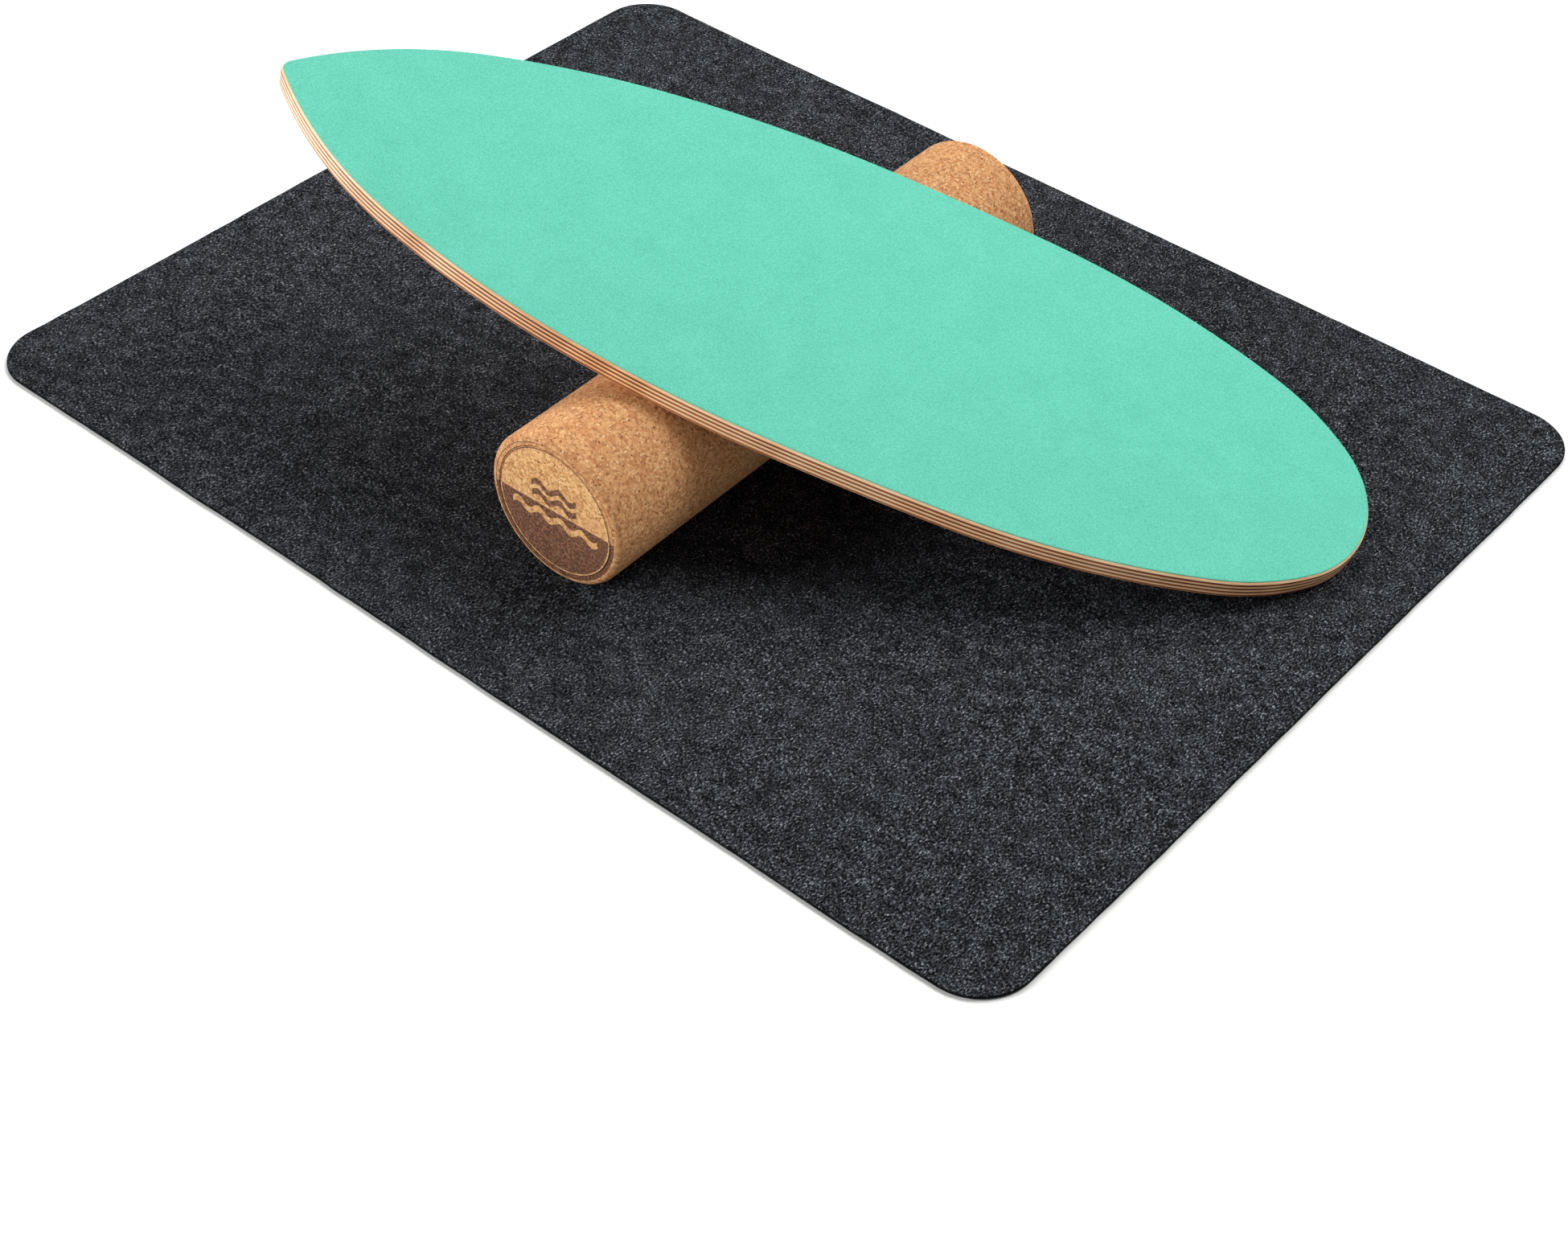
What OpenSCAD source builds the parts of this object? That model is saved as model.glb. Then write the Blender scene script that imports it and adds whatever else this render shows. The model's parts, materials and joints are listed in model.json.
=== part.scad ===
// Balance board set: a maple plywood deck on a cork roller, both on a grey felt mat.
// Origin at the centre of the mat's underside. +X runs along the mat towards the deck's tail,
// +Y along the roller away from the user, +Z up. The deck rests with its tail on the mat.

/* [Mat] */
// Length of the felt mat
mat_length = 885; // [860:5:1000]
// Width of the felt mat
mat_width = 680; // [600:5:800]
// Radius of the mat's corners
mat_corner_r = 39; // [20:1:60]
// Thickness of the needled felt
felt_thickness = 3.0; // [2:0.5:6]
// Height of the grip dots under the felt
grip_height = 0.6; // [0.4:0.1:1.2]

/* [Roller] */
// Outside diameter of the roller
roller_d = 110; // [90:1:130]
// Length of the roller
roller_length = 445; // [400:5:500]
// Wall of the cork sleeve
cork_wall = 7.9; // [5:0.1:12]
// Radius of the rounded end edge of the sleeve
roller_edge_r = 4.9; // [2:0.1:7]
// Wall of the plastic core tube
core_wall = 3.5; // [2:0.5:6]
// Thickness of the cork discs let into the ends
end_disc_thickness = 12; // [8:1:20]
// Turn of the roller from square on the mat
roller_yaw = 1.2; // [-5:0.1:5]
// Place of the roller's middle on the mat along X
roller_x = 10.9; // [-40:0.1:40]
// Place of the roller's middle on the mat along Y
roller_y = -15.4; // [-40:0.1:40]

/* [Deck] */
// Length of the deck, nose to tail
deck_length = 772; // [740:1:800]
// Width of the deck at its widest
deck_width = 274; // [260:1:290]
// Distance of the widest place from the nose
widest_from_nose = 396; // [385:1:405]
// Radius of the tail's end
tail_r = 82; // [76:1:86]
// Radius of the side just behind the widest place
rear_side_r = 2250; // [1800:50:2600]
// Radius of the side just ahead of the widest place
front_side_r = 885; // [840:5:930]
// Radius of the nose's tip
nose_r = 9; // [6:1:12]
// Number of veneers in the deck
ply_count = 9; // [9:1:9]
// Thickness of one veneer
ply_thickness = 1.7; // [1.4:0.1:2]
// Thickness of the grip coat
coat_thickness = 0.5; // [0.3:0.1:1]
// Radius of the rounded deck edge
deck_edge_r = 2.5; // [1:0.1:3]
// Turn of the deck on the roller from square
deck_yaw = 22.1; // [0:0.1:30]
// Place of the deck's middle ahead of the line where it lies on the roller
deck_ahead = 17.3; // [-20:0.1:30]

/* [Stops] */
// Distance of each stop bar from the deck's middle
stop_distance = 215; // [200:1:230]
// Length of a stop bar
stop_length = 140; // [120:5:150]
// Width of a stop bar
stop_width = 25; // [22:1:30]
// Height of a stop bar
stop_height = 20; // [18:1:24]
// Distance between the two screws of a stop bar
screw_spacing = 90; // [70:5:100]
// Distance between the rows of threaded inserts
insert_pitch = 35; // [30:1:40]
// Thickness of the rubber strip on a stop bar
cushion_thickness = 6; // [4:1:8]

/* [Hidden] */
gap = 0.3;            // air between bodies that move past each other
fit = 0.05;           // clearance of a glued or screwed piece in its hole
glue_line = 0.25;     // ring of glue round an end disc
step = 10;            // longest straight stretch along an outline
$fn = 96;

roller_r = roller_d / 2;
sleeve_bore_r = roller_r - cork_wall;
core_r = sleeve_bore_r - gap;
core_length = roller_length - 2 * (end_disc_thickness + gap);
disc_edge_r = 1.0;

mat_top = grip_height + felt_thickness;
axis_height = mat_top + gap + roller_r;
lift = roller_r + gap;                          // roller axis to deck underside
deck_core = ply_count * ply_thickness;

// Directions of travel along one side, in degrees, where one arc passes into the next.
tail_turns = [90, 135, 159, 177, 180];
nose_turns = [180, 190, 202, 230, 270];

insert_r = 5;
insert_plies = 7;                               // veneers that an insert reaches through
insert_length = insert_plies * ply_thickness;
insert_rows = [-1, 0, 1];
thread_r = 3;
screw_depth = 11;
head_r = 6;
head_height = 3.3;
head_recess = 6;
socket_r = 2.3;
socket_depth = 2.2;
screw_length = stop_height - head_recess + screw_depth;
stop_corner_r = 10;
cushion_height = 13;
cushion_inset = 10;

light_veneer = "#efd9ae";
dark_veneer = "#a87648";

// Along an arc turned left from heading a to heading b, radius 1.
function run(a, b) = sin(b) - sin(a);
function rise(a, b) = cos(a) - cos(b);

// The two middle radii of four arcs whose ends lie dx and dy apart.
function middle_radii(h, first, last, dx, dy) =
    let (bx = dx - first * run(h[0], h[1]) - last * run(h[3], h[4]),
         by = dy - first * rise(h[0], h[1]) - last * rise(h[3], h[4]),
         det = run(h[1], h[2]) * rise(h[2], h[3]) - run(h[2], h[3]) * rise(h[1], h[2]))
    [(bx * rise(h[2], h[3]) - by * run(h[2], h[3])) / det,
     (by * run(h[1], h[2]) - bx * rise(h[1], h[2])) / det];

nose_x = -deck_length / 2;
tail_x = deck_length / 2;
half_width = deck_width / 2;
tail_mid = middle_radii(tail_turns, tail_r, rear_side_r, nose_x + widest_from_nose - tail_x,
                        half_width);
nose_mid = middle_radii(nose_turns, front_side_r, nose_r, -widest_from_nose, -half_width);
side_turns = [for (i = [0:3]) [tail_turns[i], tail_turns[i + 1]],
              for (i = [0:3]) [nose_turns[i], nose_turns[i + 1]]];
side_radii = [tail_r, tail_mid[0], tail_mid[1], rear_side_r,
              front_side_r, nose_mid[0], nose_mid[1], nose_r];

// Start point of arc i of the side, and the points of the side from tail to nose, each moved
// inwards by an inset.
function arc_start(i) = i == 0 ? [tail_x, 0] :
    arc_start(i - 1) + side_radii[i - 1] * [run(side_turns[i - 1][0], side_turns[i - 1][1]),
                                            rise(side_turns[i - 1][0], side_turns[i - 1][1])];
function arc_steps(i) = max(3, ceil(side_radii[i] * (side_turns[i][1] - side_turns[i][0])
                                    * PI / 180 / step));
function side_points(inset) =
    [for (i = [0:7]) let (p = arc_start(i), n = arc_steps(i), a = side_turns[i][0],
                          b = side_turns[i][1], r = side_radii[i])
        for (k = [0:n - 1]) let (t = a + (b - a) * k / n)
            p + r * [run(a, t), rise(a, t)] - inset * [sin(t), -cos(t)]];
function mirrored(points) = [for (i = [len(points) - 1:-1:1]) [points[i][0], -points[i][1]]];
function deck_outline(inset) =
    let (side = side_points(inset))
    concat(side, [[nose_x + inset, 0]], mirrored(side));

// Inset of veneer i, at the height of its middle, where the deck's edges are rounded over.
function ply_inset(i) =
    let (depth = min(i + 0.5, ply_count - i - 0.5) * ply_thickness,
         into = max(0, deck_edge_r - depth))
    deck_edge_r - sqrt(deck_edge_r * deck_edge_r - into * into);

// Reach of the deck's underside from the line of contact, towards its tail and its nose.
lower_outline = deck_outline(ply_inset(ply_count - 1));
across = [for (p = lower_outline) p[0] * cos(deck_yaw) - p[1] * sin(deck_yaw)];
tail_reach = max(across) + deck_ahead;
nose_reach = -min(across) - deck_ahead;

// Tilt at which a deck that reaches this far comes down to the gap above the mat.
function touch_tilt(reach) =
    acos(-roller_r / norm([lift, reach])) - atan2(reach, lift);
rest_tilt = touch_tilt(tail_reach);
rock_range = rest_tilt + touch_tilt(nose_reach);

// Rectangle with true round corners.
module rounded_rectangle(length, width, r) {
    square([length - 2 * r, width], center = true);
    square([length, width - 2 * r], center = true);
    for (sx = [-1, 1], sy = [-1, 1])
        translate([sx * (length / 2 - r), sy * (width / 2 - r)]) circle(r);
}

// Half section of a turned piece with a rounded outer edge at its top end, on the +X side.
module turned_section(inner, outer, length, edge_r) {
    n = 8;
    corner = [for (k = [0:n]) let (t = 90 * k / n)
        [outer - edge_r + edge_r * cos(t), length - edge_r + edge_r * sin(t)]];
    polygon(concat([[inner, 0], [outer, 0]], corner, [[inner, length]]));
}

// Puts children in the roller's frame: X along its travel, Y along its axis.
module on_roller() {
    translate([roller_x, roller_y, axis_height]) rotate([0, 0, roller_yaw]) children();
}

// Puts children in the deck's frame: X towards the tail, Z up, 0 at its underside.
module on_deck() {
    on_roller() rotate([0, rest_tilt, 0]) translate([deck_ahead, 0, lift])
        rotate([0, 0, deck_yaw]) children();
}

// Puts children in the frame of one stop bar, on the deck's underside: side is 1 for the
// tail and -1 for the nose, and X points away from the roller.
module on_stop(side) {
    on_deck() mirror([side < 0 ? 1 : 0, 0, 0]) translate([stop_distance, 0, 0]) children();
}

module mat_felt() {
    color("#36383c") translate([0, 0, grip_height])
        linear_extrude(felt_thickness) rounded_rectangle(mat_length, mat_width, mat_corner_r);
}

// The layer that the grip dots take up, as one thin sheet.
module mat_grip_layer() {
    color("#9a968e")
        linear_extrude(grip_height) rounded_rectangle(mat_length, mat_width, mat_corner_r);
}

module roller_core_tube() {
    color("#c9c6bf") on_roller() rotate([90, 0, 0])
        difference() {
            cylinder(h = core_length, r = core_r, center = true);
            cylinder(h = core_length + 2, r = core_r - core_wall, center = true);
        }
}

module roller_cork_sleeve() {
    color("#cd9b69") on_roller() rotate([90, 0, 0])
        for (end = [0, 1]) mirror([0, 0, end])
            rotate_extrude()
                turned_section(sleeve_bore_r, roller_r, roller_length / 2, roller_edge_r);
}

module roller_end_disc(end) {
    color("#e2b276") on_roller() rotate([-90 * end, 0, 0])
        translate([0, 0, roller_length / 2 - end_disc_thickness])
            rotate_extrude()
                turned_section(0, sleeve_bore_r - glue_line, end_disc_thickness, disc_edge_r);
}

module roller_end_disc_near() { roller_end_disc(-1); }
module roller_end_disc_far() { roller_end_disc(1); }

module deck_grip_coat() {
    color("#74dcc0") on_deck() translate([0, 0, deck_core])
        linear_extrude(coat_thickness) polygon(deck_outline(deck_edge_r));
}

// Places of the threaded inserts, in the deck's frame.
module at_inserts() {
    for (side = [-1, 1], row = insert_rows, end = [-1, 1])
        translate([side * (stop_distance + row * insert_pitch), end * screw_spacing / 2, 0])
            children();
}

// Veneer i, counted from 0 at the top.
module deck_ply(i) {
    level = (ply_count - 1 - i) * ply_thickness;
    color(i % 2 == 0 ? light_veneer : dark_veneer) on_deck() translate([0, 0, level])
        difference() {
            linear_extrude(ply_thickness) polygon(deck_outline(ply_inset(i)));
            if (i >= ply_count - insert_plies)
                at_inserts() translate([0, 0, -1])
                    cylinder(h = ply_thickness + 2, r = insert_r + fit);
        }
}

module deck_ply_1() { deck_ply(0); }
module deck_ply_2() { deck_ply(1); }
module deck_ply_3() { deck_ply(2); }
module deck_ply_4() { deck_ply(3); }
module deck_ply_5() { deck_ply(4); }
module deck_ply_6() { deck_ply(5); }
module deck_ply_7() { deck_ply(6); }
module deck_ply_8() { deck_ply(7); }
module deck_ply_9() { deck_ply(8); }

module stop_bar(side) {
    color("#c99a62") on_stop(side) translate([0, 0, -stop_height])
        difference() {
            linear_extrude(stop_height) rounded_rectangle(stop_width, stop_length, stop_corner_r);
            for (end = [-1, 1]) translate([0, end * screw_spacing / 2, -1]) {
                cylinder(h = stop_height + 2, r = thread_r + 0.3);
                cylinder(h = head_recess + 1, r = head_r + 0.5);
            }
        }
}

module stop_bar_nose() { stop_bar(-1); }
module stop_bar_tail() { stop_bar(1); }

// D-shaped rubber strip glued to the bar's face towards the roller.
module stop_cushion(side) {
    length = stop_length - 2 * cushion_inset;
    color("#2b2b2d") on_stop(side)
        translate([-stop_width / 2, length / 2, -stop_height / 2]) rotate([90, 0, 0])
            linear_extrude(length) intersection() {
                translate([-cushion_thickness, -cushion_height / 2])
                    square([cushion_thickness, cushion_height]);
                translate([cushion_height - cushion_thickness, 0]) circle(cushion_height);
            }
}

module stop_cushion_nose() { stop_cushion(-1); }
module stop_cushion_tail() { stop_cushion(1); }

// Button-head screws, up through the bar into the middle row of inserts.
module stop_screws(side) {
    color("silver") on_stop(side)
        for (end = [-1, 1]) translate([0, end * screw_spacing / 2, head_recess - stop_height]) {
            cylinder(h = screw_length, r = thread_r);
            difference() {
                translate([0, 0, -head_height]) cylinder(h = head_height, r = head_r);
                translate([0, 0, -head_height - 1])
                    cylinder(h = socket_depth + 1, r = socket_r, $fn = 6);
            }
        }
}

module stop_screws_nose() { stop_screws(-1); }
module stop_screws_tail() { stop_screws(1); }

// Threaded inserts, three rows of two for each stop bar.
module stop_inserts(side) {
    color("goldenrod") on_stop(side)
        for (row = insert_rows, end = [-1, 1])
            translate([row * insert_pitch, end * screw_spacing / 2, 0])
                difference() {
                    cylinder(h = insert_length, r = insert_r);
                    translate([0, 0, -1]) cylinder(h = insert_length + 2, r = thread_r + fit);
                }
}

module stop_inserts_nose() { stop_inserts(-1); }
module stop_inserts_tail() { stop_inserts(1); }

mat_felt();
mat_grip_layer();
roller_core_tube();
roller_cork_sleeve();
roller_end_disc_near();
roller_end_disc_far();
deck_grip_coat();
deck_ply_1();
deck_ply_2();
deck_ply_3();
deck_ply_4();
deck_ply_5();
deck_ply_6();
deck_ply_7();
deck_ply_8();
deck_ply_9();
stop_bar_nose();
stop_bar_tail();
stop_cushion_nose();
stop_cushion_tail();
stop_screws_nose();
stop_screws_tail();
stop_inserts_nose();
stop_inserts_tail();
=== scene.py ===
import json
import math

import bpy
import numpy as np
from mathutils import Matrix, Vector, noise


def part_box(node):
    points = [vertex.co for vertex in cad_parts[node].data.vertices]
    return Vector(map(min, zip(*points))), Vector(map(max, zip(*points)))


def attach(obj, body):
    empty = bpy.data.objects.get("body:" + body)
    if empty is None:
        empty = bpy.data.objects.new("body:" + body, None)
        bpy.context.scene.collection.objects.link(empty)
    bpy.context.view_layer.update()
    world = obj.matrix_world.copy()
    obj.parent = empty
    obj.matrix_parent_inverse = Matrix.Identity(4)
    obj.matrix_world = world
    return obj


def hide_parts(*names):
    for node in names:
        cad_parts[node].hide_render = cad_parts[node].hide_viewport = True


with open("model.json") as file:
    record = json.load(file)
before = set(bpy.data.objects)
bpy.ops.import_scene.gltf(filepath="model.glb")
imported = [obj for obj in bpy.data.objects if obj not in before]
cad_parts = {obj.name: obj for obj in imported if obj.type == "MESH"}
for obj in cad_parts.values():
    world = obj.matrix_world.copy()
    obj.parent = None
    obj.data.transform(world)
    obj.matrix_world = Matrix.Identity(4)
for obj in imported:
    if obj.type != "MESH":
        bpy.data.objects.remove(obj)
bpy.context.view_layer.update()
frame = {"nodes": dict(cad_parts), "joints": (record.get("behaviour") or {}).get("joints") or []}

# The camera looks down on the set from its front left corner, a little tilted to one side.
# Its aim is a point on the felt in front of the roller.
CAMERA_AIM = Vector((0.1525, -0.1739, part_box("mat_felt")[1].z))
CAMERA_DISTANCE = 1.6886
CAMERA_TURN = math.radians(39.26)
CAMERA_HEIGHT = math.radians(42.99)
CAMERA_ROLL = math.radians(1.84)
back = Vector((math.sin(CAMERA_TURN) * math.cos(CAMERA_HEIGHT),
               -math.cos(CAMERA_TURN) * math.cos(CAMERA_HEIGHT),
               math.sin(CAMERA_HEIGHT)))
level = Vector((math.cos(CAMERA_TURN), math.sin(CAMERA_TURN), 0))
right = math.cos(CAMERA_ROLL) * level + math.sin(CAMERA_ROLL) * back.cross(level)
camera = bpy.data.objects.new("camera", bpy.data.cameras.new("camera"))
camera.data.lens = 61.32
camera.data.sensor_width = 36
camera.data.clip_end = 50
camera_axes = Matrix((right, back.cross(right), back)).transposed().to_4x4()
camera.matrix_world = Matrix.Translation(CAMERA_AIM + CAMERA_DISTANCE * back) @ camera_axes
bpy.context.scene.collection.objects.link(camera)
bpy.context.scene.camera = camera

# The studio: a round white paper floor, two large soft boxes high behind the set on its left
# and right, and one low at the front left. The room is white at eye level and grey above.
MM = 0.001


def linear(hex_colour):
    """An sRGB hex colour as linear red, green, blue and alpha."""
    parts = [int(hex_colour[i:i + 2], 16) / 255 for i in (1, 3, 5)]
    return [c / 12.92 if c <= 0.04045 else ((c + 0.055) / 1.055) ** 2.4 for c in parts] + [1]


def add(material, kind, inputs=(), stops=(), **settings):
    """Adds a node: inputs are values or other nodes' outputs, stops a ramp's (place, hex)."""
    tree = material.node_tree
    node = tree.nodes.new("ShaderNode" + kind)
    for name, value in settings.items():
        setattr(node, name, value)
    for name, value in dict(inputs).items():
        if isinstance(value, bpy.types.NodeSocket):
            tree.links.new(value, node.inputs[name])
        else:
            node.inputs[name].default_value = value
    for i, (place, colour) in enumerate(stops):
        ramp = node.color_ramp.elements
        stop = ramp[i] if i < 2 else ramp.new(place)
        stop.position = place
        stop.color = linear(colour)
    return node


def start(name, roughness, **shader_values):
    """A new material with its shader's even values set: returns it and the shader."""
    material = bpy.data.materials.new(name)
    material.use_nodes = True
    shader = material.node_tree.nodes["Principled BSDF"]
    shader.inputs["Roughness"].default_value = roughness
    for socket, value in shader_values.items():
        shader.inputs[socket.replace("_", " ")].default_value = value
    return material, shader


def join(material, output, socket):
    material.node_tree.links.new(output, socket)


paper, paper_shader = start("white_paper", 0.9)
paper_place = add(paper, "TexCoord")
paper_grain = add(paper, "TexNoise", {"Vector": paper_place.outputs["Object"], "Scale": 400})
paper_tone = add(paper, "ValToRGB", {"Fac": paper_grain.outputs["Fac"]},
                 stops=((0.3, "#fafaf8"), (0.7, "#fdfdfc")))
join(paper, paper_tone.outputs["Color"], paper_shader.inputs["Base Color"])

FLOOR_RADIUS = 1.75
floor_turns = [math.radians(t) for t in range(0, 360, 3)]
floor_mesh = bpy.data.meshes.new("floor")
floor_mesh.from_pydata([(FLOOR_RADIUS * math.cos(t), FLOOR_RADIUS * math.sin(t), 0)
                        for t in floor_turns], [], [tuple(range(len(floor_turns)))])
floor_mesh.materials.append(paper)
floor = bpy.data.objects.new("floor", floor_mesh)
bpy.context.scene.collection.objects.link(floor)


def soft_box(name, place, aim, size, power):
    lamp = bpy.data.lights.new(name, "AREA")
    lamp.shape = "SQUARE"
    lamp.size = size
    lamp.energy = power
    lamp_object = bpy.data.objects.new(name, lamp)
    lamp_object.location = place
    lamp_object.rotation_mode = "QUATERNION"
    lamp_object.rotation_quaternion = (Vector(aim) - Vector(place)).to_track_quat("-Z", "Y")
    bpy.context.scene.collection.objects.link(lamp_object)


soft_box("left_back_light", (-1.4, 1.9, 3.2), (0, 0, 0), 2.0, 84)
soft_box("right_back_light", (1.4, 2.0, 3.2), (0, 0, 0), 2.0, 107)
soft_box("front_light", (-2.9, -4.1, 2.0), (0, 0, 0), 2.2, 218)
room = bpy.data.worlds.new("room")
room.use_nodes = True
room_way = add(room, "TexCoord").outputs["Generated"]
room_height = add(room, "SeparateXYZ", {"Vector": room_way}).outputs["Z"]
room_tone = add(room, "ValToRGB", {"Fac": room_height},
                stops=((0.02, "#ffffff"), (0.3, "#6c6c6b"), (0.12, "#c4c4c3")))
join(room, room_tone.outputs["Color"], room.node_tree.nodes["Background"].inputs["Color"])
bpy.context.scene.world = room
bpy.context.scene.view_settings.view_transform = "Standard"

# The mat: 3 mm of needled felt, dark grey fibres with a few pale blue-grey ones, cut to a
# rectangle with round corners. It lies loose, so its cut edge wanders by about a millimetre.
felt_low, felt_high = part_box("mat_felt")
FELT_CORNER = 39 * MM
FELT_EDGE_ROUND = 0.8 * MM
FELT_EDGE_WANDER = 0.9 * MM
FELT_SURFACE_WAVE = 0.22 * MM


def rounded_outline(low, high, corner, spacing):
    """Points and outward directions of a rounded rectangle, turning left from its low side."""
    rows = []
    for k, (x, y) in enumerate(((high.x, low.y), (high.x, high.y), (low.x, high.y),
                                (low.x, low.y))):
        middle = np.array((x - math.copysign(corner, x), y - math.copysign(corner, y)))
        turns = np.linspace(k - 1, k, math.ceil(corner * math.pi / 2 / spacing) + 1)
        arc = np.stack((np.cos(turns * math.pi / 2), np.sin(turns * math.pi / 2)), 1)
        rows.append(np.hstack((middle + corner * arc, arc)))
    filled = []
    for a, b in zip(rows, rows[1:] + rows[:1]):
        steps = math.ceil(np.linalg.norm(b[0, :2] - a[-1, :2]) / spacing)
        gap = np.linspace(0, 1, steps, endpoint=False)[1:, None]
        filled += [a, a[-1] + (b[0] - a[-1]) * gap]
    filled = np.vstack(filled)
    return filled[:, :2], filled[:, 2:]


def stack(name, rings, material, place=Matrix.Identity(4)):
    """A closed mesh through rings of points, each round the same axis, from one end to the
    other. Its UVs are in metres: along the ring and across it on the sides, x and y on caps."""
    rings = np.array(rings)
    count, around = rings.shape[:2]
    side = [(k * around + i, k * around + (i + 1) % around,
             (k + 1) * around + (i + 1) % around, (k + 1) * around + i)
            for k in range(count - 1) for i in range(around)]
    caps = [tuple(range(around - 1, -1, -1)), tuple(range((count - 1) * around, count * around))]
    mesh = bpy.data.meshes.new(name)
    mesh.from_pydata([tuple(place @ Vector(p)) for p in rings.reshape(-1, 3)], [], side + caps)
    widest = rings[count // 2]
    along = np.concatenate(([0], np.cumsum(np.linalg.norm(
        np.roll(widest, -1, 0) - widest, axis=1))))
    across = np.concatenate(([0], np.cumsum(np.linalg.norm(
        np.diff(rings[:, 0], axis=0), axis=1))))
    uv = [(along[i + di], across[k + dk]) for k in range(count - 1) for i in range(around)
          for di, dk in ((0, 0), (1, 0), (1, 1), (0, 1))]
    uv += [tuple(rings[0, i, :2]) for i in caps[0]]
    uv += [tuple(rings[-1, i - (count - 1) * around, :2]) for i in caps[1]]
    mesh.uv_layers.new(name="surface").data.foreach_set("uv", np.array(uv).ravel())
    mesh.materials.append(material)
    mesh.shade_smooth()
    mesh.set_sharp_from_angle(angle=math.radians(40))
    piece = bpy.data.objects.new(name, mesh)
    bpy.context.scene.collection.objects.link(piece)
    return piece


# Felt gives a dull dark grey full of pale and black specks that lie every way, in faint clouds
# 10 to 15 mm wide. The fibres trap light, so it hardly shines. They are 0.03 mm thick, too fine
# to draw, so the specks are tufts one or two millimetres long.
felt, felt_shader = start("needled_felt", 0.95, Specular_IOR_Level=0.05)
felt_place = add(felt, "TexCoord").outputs["Object"]
felt_strands = []
for turn, shift in ((15, 0.0), (105, 3.1)):
    lie = add(felt, "Mapping", {"Vector": felt_place, "Location": (shift, shift, shift),
                                "Rotation": (0, 0, math.radians(turn)),
                                "Scale": (1, 0.6, 1)})
    strand = add(felt, "TexNoise", {"Vector": lie.outputs["Vector"], "Scale": 820,
                                    "Detail": 2, "Roughness": 0.7})
    felt_strands.append(strand.outputs["Fac"])
felt_pair = add(felt, "Mix", {0: 0.5, 2: felt_strands[0], 3: felt_strands[1]})
felt_cloud = add(felt, "TexNoise", {"Vector": felt_place, "Scale": 95, "Detail": 3,
                                    "Roughness": 0.6})
felt_lift = add(felt, "MapRange", {"Value": felt_cloud.outputs["Fac"], "From Min": 0.3,
                                   "From Max": 0.7, "To Min": -0.032, "To Max": 0.032})
felt_tone = add(felt, "Math", {0: felt_pair.outputs[0], 1: felt_lift.outputs[0]},
                operation="ADD")
felt_colour = add(felt, "ValToRGB", {"Fac": felt_tone.outputs[0]},
                  stops=((0.40, "#040405"), (0.68, "#a1a5ac"), (0.46, "#17181a"),
                         (0.52, "#2e3034"), (0.58, "#4d5056")))
felt_relief = add(felt, "Bump", {"Height": felt_tone.outputs[0], "Strength": 0.8,
                                 "Distance": 0.5 * MM})
# Faces of the felt that stand upright, its cut edge, are darkened to nearly black by the way they
# face.
felt_face = add(felt, "SeparateXYZ", {"Vector": add(felt, "NewGeometry").outputs["Normal"]})
felt_upright = add(felt, "Math", {0: felt_face.outputs["Z"]}, operation="ABSOLUTE")
felt_cut = add(felt, "MapRange", {"Value": felt_upright.outputs[0], "From Min": 0.55,
                                  "From Max": 0.95, "To Min": 0.85, "To Max": 0})
felt_whole = add(felt, "Mix", {0: felt_cut.outputs[0], 6: felt_colour.outputs["Color"],
                               7: linear("#060605")}, data_type="RGBA")
join(felt, felt_whole.outputs[2], felt_shader.inputs["Base Color"])
join(felt, felt_relief.outputs["Normal"], felt_shader.inputs["Normal"])

felt_edge, felt_out = rounded_outline(felt_low, felt_high, FELT_CORNER, 4 * MM)
wander = np.array([noise.noise(Vector((x * 9, y * 9, 0.5))) + 0.4 * noise.noise(
    Vector((x * 60, y * 60, 2.5))) for x, y in felt_edge])
felt_edge = felt_edge + felt_out * (wander * FELT_EDGE_WANDER)[:, None]


def felt_ring(share, inset, z, wave=0.0):
    flat = (felt_edge - felt_out * inset) * share
    rise = [wave * noise.noise(Vector((x * 14, y * 14, 7.5))) for x, y in flat]
    return [(x, y, z + dz) for (x, y), dz in zip(flat, rise)]


inner_shares = np.linspace(0.05, 0.985, 24)
felt_rings = [felt_ring(s, FELT_EDGE_ROUND, felt_low.z) for s in inner_shares]
for k in range(5):
    quarter = k / 4 * math.pi / 2
    felt_rings.append(felt_ring(1, FELT_EDGE_ROUND * (1 - math.sin(quarter)),
                                felt_low.z + FELT_EDGE_ROUND * (1 - math.cos(quarter))))
for k in range(5):
    quarter = k / 4 * math.pi / 2
    felt_rings.append(felt_ring(1, FELT_EDGE_ROUND * (1 - math.cos(quarter)),
                                felt_high.z - FELT_EDGE_ROUND * (1 - math.sin(quarter))))
felt_rings += [felt_ring(s, FELT_EDGE_ROUND, felt_high.z - FELT_SURFACE_WAVE / 2,
                         FELT_SURFACE_WAVE) for s in inner_shares[::-1]]
felt_sheet = stack("felt_sheet", felt_rings, felt)
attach(felt_sheet, "mat")
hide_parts("mat_felt")

# Loose fibre ends stand a little out of both faces of the felt, pale or dark as each fibre is.
# A real one is 0.03 mm thick; each is drawn as a bent spindle a sixth of a millimetre thick.
FIBRE_COUNT = 14000
FIBRE_THICK = 0.16 * MM
FIBRE_LIFT = 0.16 * MM

fibre, fibre_shader = start("loose_felt_fibre", 0.9, Specular_IOR_Level=0.15)
fibre_each = add(fibre, "NewGeometry").outputs["Random Per Island"]
fibre_colour = add(fibre, "ValToRGB", {"Fac": fibre_each},
                   stops=((0.0, "#121214"), (1.0, "#9aa1ad"), (0.45, "#26282c"),
                          (0.8, "#50545d")))
join(fibre, fibre_colour.outputs["Color"], fibre_shader.inputs["Base Color"])


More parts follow.
